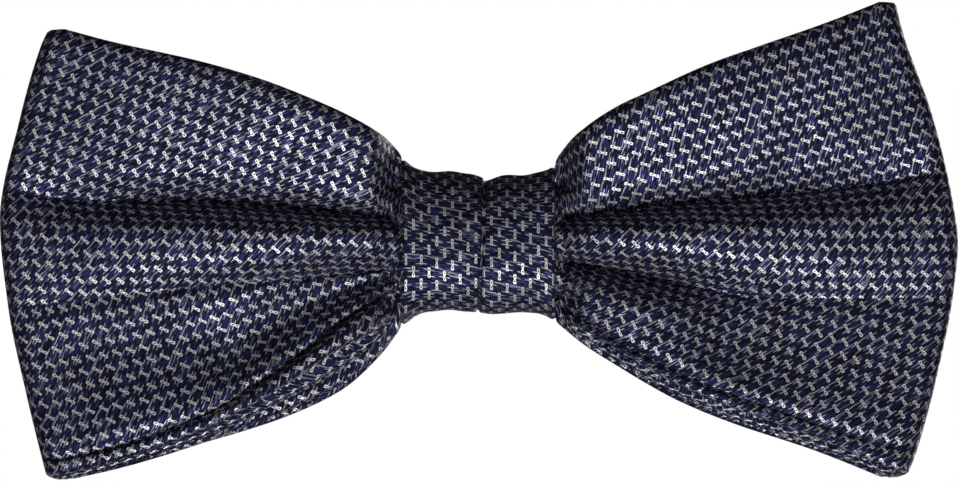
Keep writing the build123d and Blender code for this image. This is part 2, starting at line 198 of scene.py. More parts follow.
# Outline and fold lines of each wing as (d, z) points. Columns run from the bottom rim to the top rim.
# lifts say how far each layer's bottom edge lies above the outline, by d, so that the four layers
# show like stacked pages. depths say how far each fold line lies behind the crests, by d.
WINGS = {
    "left": {
        "side": -1,
        "top": [(9.2, 10.3), (12.4, 13.5), (16.3, 15.8), (20.0, 17.5), (27.6, 20.4), (35.0, 22.5),
                (46.5, 25.0), (53.6, 26.9)],
        "bottom": [(9.2, -10.2), (12.4, -14.4), (17.4, -18.8), (25.0, -22.4), (35.0, -25.6),
                   (45.0, -28.4), (53.4, -30.2), (54.6, -30.5)],
        "lifts": {
            "front": [(9.2, 1.2), (12.7, 3.6), (18.1, 5.3), (24.2, 4.0), (35.0, 1.7), (45.0, 0.9),
                      (53.6, 0.5)],
            "front_back": [(9.2, 0.9), (12.7, 2.9), (18.1, 3.1), (24.2, 2.7), (35.0, 1.2), (53.6, 0.3)],
            "rear": [(9.2, 0.5), (12.7, 0.9), (18.1, 1.5), (24.2, 1.4), (35.0, 0.6), (53.6, 0.2)],
            "rear_back": [(9.2, 0.0), (53.6, 0.0)],
        },
        "upper_valley": [(9.2, 2.9), (16.0, 3.3), (26.0, 4.2), (36.0, 4.8), (48.0, 5.0), (60.0, 6.4)],
        "lower_valley": [(9.2, -3.5), (16.0, -4.2), (29.0, -5.2), (41.0, -6.3), (60.0, -8.6)],
        "rim_valley": [(9.2, -5.5), (10.5, -6.0), (13.0, -7.5), (16.2, -9.6), (22.5, -14.6), (28.8, -18.8),
                       (35.1, -22.2), (46.4, -26.0), (56.0, -28.2)],
        "end": [(-31.2, 53.9), (-30.2, 54.4), (-28.2, 54.9), (-20.0, 56.9), (-8.3, 59.3), (3.0, 60.3),
                (15.9, 57.8), (25.4, 55.1), (27.4, 54.2)],
        "depths": {
            "rim_valley": [(9.2, 2.6), (13.0, 3.2), (20.0, 3.0), (30.0, 1.7), (45.0, 0.9), (60.0, 0.4)],
            "lower_valley": [(9.2, 3.2), (13.0, 4.2), (22.0, 3.8), (34.0, 2.7), (48.0, 1.7), (60.0, 0.8)],
            "upper_valley": [(9.2, 3.2), (13.0, 4.4), (20.0, 5.7), (34.0, 6.0), (46.0, 4.6), (54.0, 2.9),
                             (60.0, 1.2)],
        },
        "lower_fold": {"low": ROUND, "low_far": NARROW, "high": DIP},
    },
    "right": {
        "side": 1,
        "top": [(9.2, 9.3), (10.1, 10.7), (12.8, 13.8), (17.7, 17.1), (20.3, 18.3), (29.0, 22.2),
                (35.0, 24.3), (44.0, 27.4), (52.2, 30.6)],
        "bottom": [(9.2, -9.4), (10.1, -10.2), (12.8, -12.5), (17.7, -15.8), (21.5, -18.1), (25.2, -20.1),
                   (32.0, -22.9), (43.0, -26.5), (52.0, -30.0)],
        "lifts": {
            "front": [(9.2, 0.8), (12.8, 1.4), (19.3, 1.9), (32.0, 1.9), (43.0, 1.5), (54.2, 1.1)],
            "front_back": [(9.2, 0.5), (12.8, 0.9), (19.3, 1.1), (32.0, 1.1), (43.0, 0.9), (54.2, 0.6)],
            "rear": [(9.2, 0.2), (12.8, 0.3), (19.3, 0.5), (32.0, 0.5), (54.2, 0.3)],
            "rear_back": [(9.2, 0.0), (54.2, 0.0)],
        },
        "upper_valley": [(9.2, 2.5), (18.5, 3.7), (28.0, 4.9), (40.5, 6.2), (50.0, 7.4), (60.0, 9.2)],
        "lower_valley": [(9.2, -2.3), (18.5, -4.1), (28.0, -5.8), (34.2, -6.9), (46.0, -7.2), (60.0, -7.1)],
        "rim_valley": [(9.2, -7.4), (19.0, -13.6), (28.0, -17.8), (38.0, -21.5), (48.0, -24.9),
                       (58.0, -27.5)],
        "end": [(-30.2, 54.2), (-28.0, 54.9), (-18.4, 57.5), (-6.0, 59.9), (0.0, 60.4), (5.0, 59.8),
                (16.0, 57.3), (27.4, 53.4), (30.8, 52.6)],
        "depths": {
            "rim_valley": [(9.2, 0.6), (19.0, 0.9), (32.0, 0.8), (48.0, 0.5), (60.0, 0.3)],
            "lower_valley": [(9.2, 3.2), (14.0, 5.0), (24.0, 6.2), (34.0, 4.0), (46.0, 2.2), (60.0, 1.3)],
            "upper_valley": [(9.2, 3.2), (13.0, 4.3), (22.0, 5.8), (38.0, 6.0), (50.0, 4.0), (60.0, 1.2)],
        },
        "lower_fold": {"low": ROUND, "low_far": NARROW, "high": QUICK, "high_far": LATE},
    },
}

# Each layer of ribbon: where its crests lie by d, which way its outer face looks, how strongly it
# follows the fold lines, and how far its edges stand back from the wing's outline.
LAYERS = {
    "front": {
        "crest": [(9.1, -16.1), (12.0, -17.3), (18.0, -19.0), (28.0, -20.0), (42.0, -19.2), (55.0, -17.0),
                  (60.0, -16.0)],
        "faces": -1, "pleat": 1.0, "top_in": 0.0, "end_in": 0.0,
    },
    "front_back": {
        "crest": [(9.1, -9.9), (12.0, -10.0), (20.0, -10.4), (34.0, -11.0), (45.0, -11.1), (60.0, -10.8)],
        "faces": 1, "pleat": 0.0, "top_in": 0.6, "end_in": 0.0,
    },
    "rear": {
        "crest": [(9.1, -9.7), (12.0, -9.8), (20.0, -10.2), (34.0, -10.8), (45.0, -10.9), (60.0, -10.5)],
        "faces": -1, "pleat": 0.0, "top_in": 0.9, "end_in": 0.9,
    },
    "rear_back": {
        "crest": [(9.1, -2.9), (12.0, -2.7), (20.0, -2.3), (34.0, -2.4), (45.0, -3.4), (60.0, -5.2)],
        "faces": 1, "pleat": 0.62, "top_in": 1.2, "end_in": 0.9,
    },
}

# Soft folds in the front ribbon's cloth: (x, z) to (x, z), half width, and depth, which is negative
# where the cloth stands proud.
SOFT_FOLDS = [
    ((41.5, 12.5), (37.0, 7.5), 1.6, 0.55),
    ((-25.5, 9.5), (-24.0, 11.5), 1.4, 0.35),
    ((-50.0, -13.0), (-38.0, -15.5), 2.2, 0.25),
    ((22.0, -9.5), (30.0, -14.0), 2.4, 0.25),
    ((46.0, 22.0), (30.0, 15.5), 2.6, -0.35),
    ((-44.0, 17.5), (-30.0, 14.0), 2.6, -0.25),
    ((-17.0, -5.0), (-31.0, -14.2), 3.8, 2.5),
]

PANEL_COLUMNS = (12, 16, 22, 24)   # rim, lower, centre, upper
THROAT_ROWS = 6
WING_ROWS = 88
FOLD_ROWS = 10
EDGE_STEPS = 3


def panel_grid():
    """Panel number and place within the panel for each column, with fold lines on shared columns."""
    panels, places = [], []
    for k, count in enumerate(PANEL_COLUMNS):
        u = np.arange(count + (1 if k == len(PANEL_COLUMNS) - 1 else 0)) / count
        # Columns crowd towards the fold lines, where the cloth turns fastest.
        t = lerp(u, (1 - np.cos(np.pi * u)) / 2, 0.6)
        panels += [k] * len(u)
        places += list(t)
    return np.array(panels), np.array(places)


PANEL, PLACE = panel_grid()
COLUMNS = len(PANEL)
PANEL_START = [int(np.argmax(PANEL == k)) for k in range(4)] + [COLUMNS - 1]


def fold_lines(wing, layer):
    """Five (d) -> z functions from the bottom rim to the top rim of one layer."""
    top_in = LAYERS[layer]["top_in"]
    top = curve(wing["top"])
    bottom = curve(wing["bottom"])
    lift = curve(wing["lifts"][layer])
    return [
        lambda d: bottom(d) + lift(d),
        curve(wing["rim_valley"]),
        curve(wing["lower_valley"]),
        curve(wing["upper_valley"]),
        lambda d: top(d) - top_in,
    ]


def knot_profile(turn, grow=1.0, inset=0.0):
    """The knot's section by angle, moved inwards by inset: 0 is the front, a quarter turn the top."""
    c, s = np.cos(turn), np.sin(turn)
    front = BAND_CENTRE_Y - BAND_LOW[1] - inset
    back = BAND_HIGH[1] - BAND_CENTRE_Y - inset
    y = BAND_CENTRE_Y - np.sign(c) * np.where(c > 0, front, back) * np.abs(c) ** np.where(c > 0, 0.86, 0.42)
    crest = np.where(c > 0, KNOT_CREST, 0.0)
    half = np.where(s > 0, KNOT_TOP - crest, KNOT_BOTTOM + crest) - inset
    z = (crest + np.sign(s) * half * np.abs(s) ** np.where(c > 0, 0.95, 0.5)) * grow
    return y, z


def band_inside(z, faces):
    """Where the gathered waist's face lies at height z, on the front or the rear."""
    half_turn = np.linspace(-1, 1, 181) * np.pi / 2
    turn = half_turn if faces < 0 else np.pi - half_turn
    y, height = knot_profile(turn, inset=WAIST_INSET)
    return np.interp(z, height, y)


def wing_height(wing, layer, d, column_panel, column_place):
    """z at distance d for each column."""
    lines = fold_lines(wing, layer)
    z = np.zeros(np.broadcast(d, column_place).shape)
    for k in range(4):
        low = lines[k](d)
        high = lines[k + 1](d)
        z = np.where(column_panel == k, lerp(low, high, column_place), z)
    throat = np.sin(np.pi / 2 * np.clip((d - THROAT) / THROAT_RUN, 0, 1))
    squeezed = np.interp(z, [-10, 10], [WAIST_INSET - KNOT_BOTTOM, KNOT_TOP - WAIST_INSET])
    return lerp(squeezed, z, throat)


def wing_depth(wing, layer, d, z, column_panel, column_place, x):
    """y of the layer's outer face at distance d for each column."""
    facts = LAYERS[layer]
    faces = facts["faces"]
    strength = facts["pleat"]
    far = smooth((d - THROAT) / CREST_RUN)
    crest = lerp(band_inside(z, faces), curve(facts["crest"])(d), far)
    valleys = [curve(wing["depths"][name])(d) for name in ("rim_valley", "lower_valley", "upper_valley")]
    edge = lerp(RIM_DEPTH_NEAR, RIM_DEPTH_FAR, smooth((d - 12) / 40))
    rows = [edge] + valleys + [edge * 0.8]
    y = np.array(crest, float)
    folds = (
        {"low": ROUND, "high": ROUND},
        wing["lower_fold"],
        {"low": SLOPE, "high": STEEP},
        {"low": LONG_SLOPE, "high": RIM},
    )
    for k, fold in enumerate(folds):
        sides = []
        for side, place in (("low", column_place), ("high", 1 - column_place)):
            near = curve(fold[side])(place)
            outer = curve(fold.get(side + "_far", fold[side]))(place)
            sides.append(lerp(near, outer, smooth((d - NEAR_END) / FAR_RUN)))
        shape = rows[k] * sides[0] + rows[k + 1] * sides[1]
        y = np.where(column_panel == k, crest - faces * strength * shape, y)
    if layer == "front":
        for (x0, z0), (x1, z1), width, depth in SOFT_FOLDS:
            run = np.array([x1 - x0, z1 - z0])
            along = np.clip(((x - x0) * run[0] + (z - z0) * run[1]) / (run @ run), 0, 1)
            gap = np.hypot(x - x0 - along * run[0], z - z0 - along * run[1])
            y = y + depth * hump(gap, width)
    return y


def end_distance(wing, layer):
    """How far out each column reaches, following the wing's curved end."""
    ends = curve(wing["end"])
    d = np.full(COLUMNS, 56.0)
    for _ in range(12):
        z = wing_height(wing, layer, d, PANEL, PLACE)
        d = ends(z) - LAYERS[layer]["end_in"]
    return d


def layer_grid(wing, layer, reach):
    """The outer face of one layer of one wing: rows from the middle outwards, by columns."""
    inside = np.linspace(0, THROAT, THROAT_ROWS)[:-1]
    u = np.linspace(0, 1, WING_ROWS)
    outside = lerp(u**1.6, u, 0.45)   # rows crowd towards the knot
    d = np.concatenate([
        np.repeat(inside[:, None], COLUMNS, axis=1),
        THROAT + outside[:, None] * (reach[None, :] - THROAT),
    ])
    panel = np.broadcast_to(PANEL, d.shape)
    place = np.broadcast_to(PLACE, d.shape)
    z = wing_height(wing, layer, d, panel, place)
    x = wing["side"] * d
    y = wing_depth(wing, layer, d, z, panel, place, x)
    return np.stack([x, y, z], axis=-1)


def wing_loop(wing, face_layer, back_layer):
    """One wing of a ribbon: its face, end fold and back as one grid, with its fabric coordinates."""
    tips = np.minimum(end_distance(wing, face_layer), end_distance(wing, back_layer))
    face = layer_grid(wing, face_layer, tips - END_FOLD_OUT)
    back = layer_grid(wing, back_layer, tips - END_FOLD_OUT)
    a, b = face[-1], back[-1]
    turn = np.linspace(0, np.pi, FOLD_ROWS + 2)[1:-1, None]
    mid_y, half_y = (a[:, 1] + b[:, 1]) / 2, (b[:, 1] - a[:, 1]) / 2
    fold = np.stack([
        a[:, 0] + wing["side"] * END_FOLD_OUT * np.sin(turn),
        mid_y - half_y * np.cos(turn),
        lerp(a[:, 2], b[:, 2], (1 - np.cos(turn)) / 2),
    ], axis=-1)
    return np.concatenate([face, fold, back[::-1]]), len(face), len(fold)


# The fabric's lie in each group of panels: (first column, last column, crest column, extra turn in
# degrees on the left wing, and on the right wing). The rim and lower panels are one piece of cloth.
def grain_groups():
    c = PANEL_START
    return [
        (c[0], c[2], (c[1] + c[2]) // 2, 4.0, -4.0),
        (c[2], c[3], (c[2] + c[3]) // 2, 0.0, 0.0),
        (c[3], c[4], (c[3] + c[4]) // 2, -8.0, 8.0),
    ]


def layer_grain(grid, side, direction, start, turn_deg, first, last, crest):
    """Flat cloth coordinates, in mm, of one group of columns of one layer, rows from the end inwards.

    The cloth is laid out along the group's crest line, and outwards from it along each row."""
    line = grid[:, crest]
    along = start - side * direction * run_lengths(line)
    local = np.arctan(np.gradient(line[:, 2]) / (direction * np.gradient(line[:, 0]) + 1e-9))
    overall = math.atan((line[-1, 2] - line[0, 2]) / (direction * (line[-1, 0] - line[0, 0])))
    # The cloth hardly bends in its own plane, so its lie follows the crest's overall direction.
    angle = lerp(overall, local, 0.25)
    block = grid[:, first:last + 1]
    dx = direction * np.diff(block[:, :, 0], axis=1)
    rise = np.diff(block[:, :, 2], axis=1)
    across = np.sign(rise) * np.hypot(rise, np.diff(block[:, :, 1], axis=1))
    c, s = np.cos(angle)[:, None], np.sin(angle)[:, None]
    u = np.concatenate([np.zeros((len(grid), 1)), np.cumsum(dx * c + across * s, axis=1)], axis=1)
    w = np.concatenate([np.zeros((len(grid), 1)), np.cumsum(across * c - dx * s, axis=1)], axis=1)
    u += along[:, None] - u[:, [crest - first]]
    w -= w[:, [crest - first]]
    turn = math.radians(turn_deg)
    return (
        u * math.cos(turn) + w * math.sin(turn),
        w * math.cos(turn) - u * math.sin(turn),
    )


def wing_grain(grid, side, face_rows, fold_rows):
    """Fabric coordinates of a whole wing loop: a pair (u, w) for each column group."""
    tip = float(np.mean(np.abs(grid[face_rows + fold_rows // 2, :, 0])))
    result = []
    anchor = None
    for first, last, crest, left_turn, right_turn in grain_groups():
        turn = left_turn if side < 0 else right_turn
        face = grid[:face_rows][::-1]
        back = grid[face_rows + fold_rows:]
        fu, fw = layer_grain(face, side, 1, side * tip, turn, first, last, crest)
        bu, bw = layer_grain(back, side, -1, side * tip, -turn, first, last, crest)
        rows = grid[face_rows - 1:face_rows + fold_rows + 1, first:last + 1]
        arc = np.cumsum(np.linalg.norm(np.diff(rows, axis=0), axis=2), axis=0)
        fold_u = fu[0] + side * arc[:-1]
        fold_w = np.repeat(fw[:1], fold_rows, axis=0)
        bu = bu - bu[:1] + (fu[0] + side * arc[-1])[None, :]
        bw = bw - bw[:1] + fw[:1]
        u = np.concatenate([fu[::-1], fold_u, bu])
        w = np.concatenate([fw[::-1], fold_w, bw])
        if anchor is not None:
            u += anchor[0] - u[face_rows - 1, 0]
            w += anchor[1] - w[face_rows - 1, 0]
        anchor = (u[face_rows - 1, -1], w[face_rows - 1, -1])
        result.append((u, w))
    return result


def surface_normals(grid):
    """Unit normals of a grid of points whose rows close on themselves."""
    along = np.roll(grid, -1, axis=0) - np.roll(grid, 1, axis=0)
    n = np.cross(along, np.gradient(grid, axis=1))
    return n / (np.linalg.norm(n, axis=2, keepdims=True) + 1e-12)


def outward_normals(grid, outward):
    """A closed sheet's normals, turned to agree with a rough outward direction."""
    n = surface_normals(grid)
    return -n if np.mean(np.sum(n * outward, axis=-1)) < 0 else n


def front_normals(grid):
    """A ribbon's normals, turned so that its face layer looks towards the front (-Y)."""
    n = surface_normals(grid)
    first_rows = n[2:20, grid.shape[1] // 2, 1]
    return -n if np.mean(first_rows) > 0 else n


def thick_ring(grid, n, thickness, square_edge=False):
    """Outer face, rounded edges and inner face of a sheet, as one closed ring of points per row."""
    inner = grid - thickness * n
    angles = np.pi * np.arange(1, EDGE_STEPS + 1) / (EDGE_STEPS + 1)
    edges = []
    for edge, beside, turns in ((-1, -2, angles), (0, 1, angles[::-1])):
        out = grid[:, edge] - grid[:, beside]
        if square_edge:
            out = out - np.sum(out * n[:, edge], axis=1, keepdims=True) * n[:, edge]
        out = out / (np.linalg.norm(out, axis=1, keepdims=True) + 1e-12)
        centre = (grid[:, edge] + inner[:, edge]) / 2
        arcs = [centre + thickness / 2 * (math.cos(a) * n[:, edge] + math.sin(a) * out) for a in turns]
        edges.append(np.stack(arcs, axis=1))
    return np.concatenate([grid, edges[0], inner[:, ::-1], edges[1]], axis=1)


def ring_columns(width, step):
    """For each column of a ring: the sheet's column that it carries on, and how far past it it lies."""
    column = [*range(width), *[width - 1] * EDGE_STEPS, *reversed(range(width)), *[0] * EDGE_STEPS]
    edge = np.arange(1, EDGE_STEPS + 1) * step
    flat = np.zeros(width)
    return np.array(column), np.concatenate([flat, edge, flat, -edge[::-1]])


def closed_faces(rows, count, coordinate):
    """Faces of a grid that closes on itself both ways.

    coordinate(face_row, face_column, row, column) lays out the cloth at a face's corner."""
    faces, uvs = [], []
    for i in range(rows):
        i2 = (i + 1) % rows
        for j in range(count):
            k = (j + 1) % count
            faces.append((i * count + j, i * count + k, i2 * count + k, i2 * count + j))
            uvs += [coordinate(i, j, a, b) for a, b in ((i, j), (i, j + 1), (i + 1, j + 1), (i + 1, j))]
    return faces, uvs


def stiffener(name, grid, n, depths, edge_columns, step):
    """A thin band below a sheet's face, short of its edges."""
    outer, inner = ((grid - depth * n)[:, edge_columns:-edge_columns] for depth in depths)
    ring = np.concatenate([outer, inner[:, ::-1]], axis=1)
    faces, uvs = closed_faces(*ring.shape[:2], lambda i, j, row, column: (row * step, column * step))
    return make_piece(name, ring, faces, uvs)


def bias(u, w, angle=BIAS_DEG):
    """Fabric coordinates turned so that the first runs along the light bars."""
    c, s = math.cos(math.radians(angle)), math.sin(math.radians(angle))
    return u * c - w * s, u * s + w * c


def ribbon_bow(name, face_layer, back_layer):
    """A whole bow: both wings of one folded ribbon, closed at the middle."""
    grids, grains = [], []
    for side_name, order in (("right", 1), ("left", -1)):
        wing = WINGS[side_name]
        grid, face_rows, fold_rows = wing_loop(wing, face_layer, back_layer)
        grain = wing_grain(grid, wing["side"], face_rows, fold_rows)
        grains.append([(u[::order], w[::order]) for u, w in grain])
        grids.append(grid[::order])
    right_rows = len(grids[0])
    grid = np.concatenate([grids[0], grids[1][1:-1]])
    ring = thick_ring(grid, front_normals(grid), CLOTH, square_edge=True)
    rows, count = ring.shape[:2]
    sheet_column, past = ring_columns(grid.shape[1], CLOTH * 0.4)
    groups = [column_group(sheet_column[j], sheet_column[(j + 1) % count]) for j in range(count)]

    def coordinate(face_row, face_column, row, column):
        """A face takes its coordinates from one group of columns of one wing."""
        group, first = groups[face_column]
        on_left = face_row >= right_rows - 1
        u, w = grains[on_left][group]
        if on_left:
            row -= right_rows - 1
        at = min(row, len(u) - 1), sheet_column[column % count] - first
        return bias(u[at], w[at] + past[column % count])

    faces, uvs = closed_faces(rows, count, coordinate)
    return make_piece(name, ring, faces, uvs), grid


def column_group(a, b):
    """The group of columns that a face from column a to b lies in, and the group's first column."""
    for group, (first, last, *_) in enumerate(grain_groups()):
        if first <= min(a, b) and max(a, b) <= last:
            return group, first
    raise ValueError("a face crosses two column groups")


# ---------------------------------------------------------------- materials


class Graph:
    """A small helper that adds nodes to one material and links them."""

    def __init__(self, name):
        self.material = bpy.data.materials.new(name)
        self.material.use_nodes = True
        self.tree = self.material.node_tree
        self.shader = self.tree.nodes["Principled BSDF"]

    def feed(self, socket, value):
        if isinstance(value, bpy.types.NodeSocket):
            self.tree.links.new(value, socket)
        else:
            socket.default_value = value

    def node(self, kind, inputs, output=0, **settings):
        """Adds a node, sets or links its inputs, and returns one of its outputs."""
        node = self.tree.nodes.new(kind)
        for key, value in settings.items():
            setattr(node, key, value)
        for key, value in inputs.items():
            self.feed(node.inputs[key], value)
        return node.outputs[output]

    def set(self, name, value):
        """Sets or links one of the shader's own sockets."""
        self.feed(self.shader.inputs[name], value)

    def math(self, operation, a, b=0.0):
        return self.node("ShaderNodeMath", {0: a, 1: b}, operation=operation)

    add = partialmethod(math, "ADD")
    sub = partialmethod(math, "SUBTRACT")
    mul = partialmethod(math, "MULTIPLY")
    div = partialmethod(math, "DIVIDE")
    larger = partialmethod(math, "MAXIMUM")
    size = partialmethod(math, "ABSOLUTE")

    def random(self, a, b=None):
        """A random share for each value of a, or of a and b."""
        if b is None:
            return self.node("ShaderNodeTexWhiteNoise", {"W": a}, "Value", noise_dimensions="1D")
        pair = self.node("ShaderNodeCombineXYZ", {0: a, 1: b})
        return self.node("ShaderNodeTexWhiteNoise", {"Vector": pair}, "Value", noise_dimensions="2D")

    def step(self, value, low, high, flip=False):
        """A smooth step from low to high, or back down again with flip."""
        inputs = {"Value": value, "From Min": low, "From Max": high,
                  "To Min": float(flip), "To Max": float(not flip)}
        return self.node("ShaderNodeMapRange", inputs, "Result", interpolation_type="SMOOTHSTEP")

    def mix(self, factor, a, b):
        return self.node("ShaderNodeMix", {0: factor, 6: a, 7: b}, 2, data_type="RGBA")

    def noise(self, vector, scale, detail=2.0):
        return self.node("ShaderNodeTexNoise", {"Vector": vector, "Scale": scale, "Detail": detail}, "Fac")

    def bump(self, height, distance, strength):
        inputs = {"Strength": strength, "Distance": distance, "Height": height}
        self.set("Normal", self.node("ShaderNodeBump", inputs))

    def fabric_axes(self):
        """The Fabric map, and its two axes apart."""
        uv = self.node("ShaderNodeUVMap", {}, uv_map="Fabric")
        split = self.tree.nodes.new("ShaderNodeSeparateXYZ")
        self.feed(split.inputs[0], uv)
        return uv, split.outputs[0], split.outputs[1]

    def object_place(self):
        return self.node("ShaderNodeTexCoord", {}, "Object")


def jacquard():
    """Navy warp threads with light doubled bars, laid out in millimetres on the Fabric map."""
    g = Graph("jacquard")
    uv, p, q = g.fabric_axes()
    # Slow drift of the threads, so that no row is ruled straight.
    drift = g.mul(g.sub(g.noise(uv, 0.35), 0.5), 0.5)
    p = g.add(p, drift)
    wander = g.mul(g.sub(g.noise(uv, 0.9), 0.5), 0.16)
    q = g.add(q, wander)

    def nearest_bar(row):
        """The nearest bar's number along a row, and the distance from it; every other row is shifted."""
        half = g.mul(g.math("PINGPONG", row, 1.0), 0.5)
        place = g.add(g.div(p, BAR_REPEAT), half)
        number = g.math("FLOOR", g.add(place, 0.5))
        return number, g.mul(g.sub(place, number), BAR_REPEAT)

    row_place = g.div(q, BAR_ROW)
    row = g.math("FLOOR", g.add(row_place, 0.5))
    from_row = g.mul(g.sub(row_place, row), BAR_ROW)
    bar_number, from_bar = nearest_bar(row)
    side = g.size(from_row)
    along = g.size(from_bar)

    # A bar is two light threads, pinched at its middle and spread at its ends.
    spread = g.mul(g.mul(along, along), BAR_SPREAD)
    lobes = g.math("COSINE", g.mul(from_bar, 2 * math.pi / (BAR_LENGTH / 2)))
    waist = g.mul(lobes, -BAR_PINCH)
    half_width = g.add(g.add(spread, waist), BAR_WIDTH / 2)
    outside = g.sub(side, half_width)
    in_width = g.step(outside, -0.03, 0.03, flip=True)
    in_length = g.step(along, BAR_LENGTH / 2 - BAR_SOFT, BAR_LENGTH / 2 + BAR_SOFT, flip=True)
    bar = g.mul(in_width, in_length)
    # Each half of a bar has a sunken eye between its two threads, painted dark as shade, and painted shade
    # lies round the whole bar.
    eyes = g.mul(g.step(side, 0.05, 0.10, flip=True), g.step(g.mul(lobes, -1.0), 0.1, 0.7))
    eyes = g.mul(eyes, g.step(along, 0.44, 0.5, flip=True))
    bar_edge_shade = g.mul(g.step(outside, 0.0, 0.12, flip=True),
                g.step(along, BAR_LENGTH / 2, BAR_LENGTH / 2 + 0.18, flip=True))

    thread_place = g.div(p, THREAD_PITCH)
    thread = g.math("FLOOR", thread_place)
    across_thread = g.sub(g.math("FRACT", thread_place), 0.5)
    crown = g.sub(1.0, g.mul(g.mul(across_thread, across_thread), 4.0))
    # Each warp thread floats over a few rows and then dives, at its own place.
    float_place = g.add(g.div(q, 2.0 * BAR_ROW), g.random(thread))
    float_number = g.math("FLOOR", float_place)
    in_float = g.size(g.sub(g.math("FRACT", float_place), 0.5))
    rise = g.step(in_float, 0.30, 0.5, flip=True)
    tone = g.random(thread, float_number)

    # Painted highlights: thin light lines on the two warp threads that dive under each bar, beside it;
    # their metallic finish shows them mostly where the light falls.
    def highlight_lines(row, away, number, from_bar):
        pick = g.random(number, row)
        first = g.sub(from_bar, g.sub(g.mul(pick, 0.5), 0.5))
        second = g.sub(from_bar, g.math("FRACT", g.mul(pick, 7.3)))
        gap = g.math("MINIMUM", g.size(first), g.size(second))
        thin = g.step(gap, 0.03, 0.10, flip=True)
        return g.mul(thin, g.step(away, 0.5, 0.9, flip=True))

    next_row = g.add(row, g.math("SIGN", from_row))
    next_number, from_next = nearest_bar(next_row)
    near_bar = g.larger(highlight_lines(row, side, bar_number, from_bar),
                        highlight_lines(next_row, g.sub(BAR_ROW, side), next_number, from_next))
    # Painted glints on the crowns of a few random threads.
    glint = g.mul(g.step(tone, 0.88, 0.98), g.mul(rise, 0.3))
    glint = g.mul(glint, g.step(crown, 0.45, 0.95))
    painted_highlight = g.larger(g.mul(near_bar, 0.65), glint)

    gap = (0.0008, 0.0008, 0.0025, 1)     # painted shade between threads, round each bar and in its eyes
    deep = (0.009, 0.010, 0.045, 1)       # the darkest warp thread
    bright = (0.062, 0.070, 0.270, 1)     # the lightest
    highlight_colour = (0.72, 0.72, 0.82, 1)         # painted highlight on a warp thread
    light = (0.92, 0.92, 0.94, 1)         # the bars
    navy = g.mix(tone, deep, bright)
    # A warp thread's colour fades to the painted shade at its sides and where it dives under.
    body = g.mul(g.step(crown, 0.40, 1.0), g.add(g.mul(rise, 0.92), 0.08))
    warp = g.mix(body, gap, navy)
    warp = g.mix(g.mul(bar_edge_shade, 0.8), warp, gap)
    # The painted highlights and glints are laid over the warp's colour.
    warp = g.mix(painted_highlight, warp, highlight_colour)
    bar_colour = g.mix(g.mul(eyes, 0.92), light, gap)
    g.set("Base Color", g.mix(bar, warp, bar_colour))

    warp_height = g.mul(body, 0.6)
    bar_height = g.sub(0.95, g.mul(eyes, 0.5))
    height = g.add(g.mul(warp_height, g.sub(1.0, bar)), g.mul(bar_height, bar))
    g.bump(height, 0.00006, 0.9)
    dull = g.add(0.48, g.mul(g.sub(1.0, body), 0.35))
    rough = g.sub(dull, g.mul(g.larger(painted_highlight, bar), 0.10))
    g.set("Roughness", rough)
    metal = g.larger(g.mul(bar, 0.9), g.mul(painted_highlight, 0.95))
    g.set("Metallic", g.larger(metal, g.mul(body, 0.7)))
    g.set("Specular IOR Level", 0.25)
    return g.material


def plain_cloth(name, colour, pitch, rough=0.8):
    """A tabby cloth of one colour, its threads laid out on the Fabric map, with painted shade in the
    hollows between them.
    """
    g = Graph(name)
    uv, p, q = g.fabric_axes()
    a = g.math("SINE", g.mul(p, math.pi / pitch))
    b = g.math("SINE", g.mul(q, math.pi / pitch))
    height = g.size(g.mul(a, b))
    tone = g.noise(uv, 0.8, 4.0)
    # Painted shade: darker in the hollows between threads, with a random tone over it.
    dark = tuple(c * 0.45 for c in colour) + (1,)
    hollow_shade_and_tone = g.add(g.mul(height, 0.6), g.mul(tone, 0.4))
    g.set("Base Color", g.mix(hollow_shade_and_tone, dark, colour + (1,)))
    g.bump(height, 0.00005, 0.7)
    g.set("Roughness", rough)
    return g.material


def sewing_thread():
    """Twisted navy thread: its plies run slantwise along the Fabric map, painted darker in the grooves
    between them as shade.
    """
    g = Graph("sewing_thread")
    _, p, q = g.fabric_axes()
    ply = g.size(g.math("SINE", g.mul(g.add(p, q), math.pi / 0.22)))
    # Painted shade in the grooves between plies.
    g.set("Base Color", g.mix(ply, (0.004, 0.004, 0.012, 1), (0.035, 0.038, 0.13, 1)))
    g.bump(ply, 0.00004, 0.8)
    g.set("Roughness", 0.55)
    return g.material


def nickel_steel():
    """Nickel-plated stamped sheet: fine drawn lines along X, and slightly dull patches."""
    g = Graph("nickel_steel")
    where = g.object_place()
    stretched = g.node("ShaderNodeMapping", {"Vector": where, "Scale": (60, 900, 900)})
    lines = g.noise(stretched, 8.0, 3.0)
    patches = g.noise(where, 350.0, 3.0)
    g.set("Base Color", g.mix(patches, (0.60, 0.59, 0.57, 1), (0.74, 0.73, 0.71, 1)))
    g.set("Roughness", g.add(0.20, g.mul(lines, 0.22)))
    g.bump(lines, 0.000012, 0.5)
    g.set("Metallic", 1.0)
    return g.material


def bright_steel(name, colour, rough):
    """Drawn or turned steel with faint patchy gloss."""
    g = Graph(name)
    patches = g.noise(g.object_place(), 900.0, 2.0)
    g.set("Roughness", g.add(rough, g.mul(patches, 0.12)))
    dark = tuple(c * 0.85 for c in colour) + (1,)
    g.set("Base Color", g.mix(patches, dark, colour + (1,)))
    g.set("Metallic", 1.0)
    return g.material


def pad_rubber():
    """Matt black rubber with a fine moulded grain."""
    g = Graph("pad_rubber")
    grain = g.noise(g.object_place(), 5000.0, 3.0)
    g.set("Base Color", g.mix(grain, (0.008, 0.008, 0.009, 1), (0.028, 0.028, 0.03, 1)))
    g.set("Roughness", g.add(0.55, g.mul(grain, 0.3)))
    g.bump(grain, 0.00003, 0.5)
    return g.material


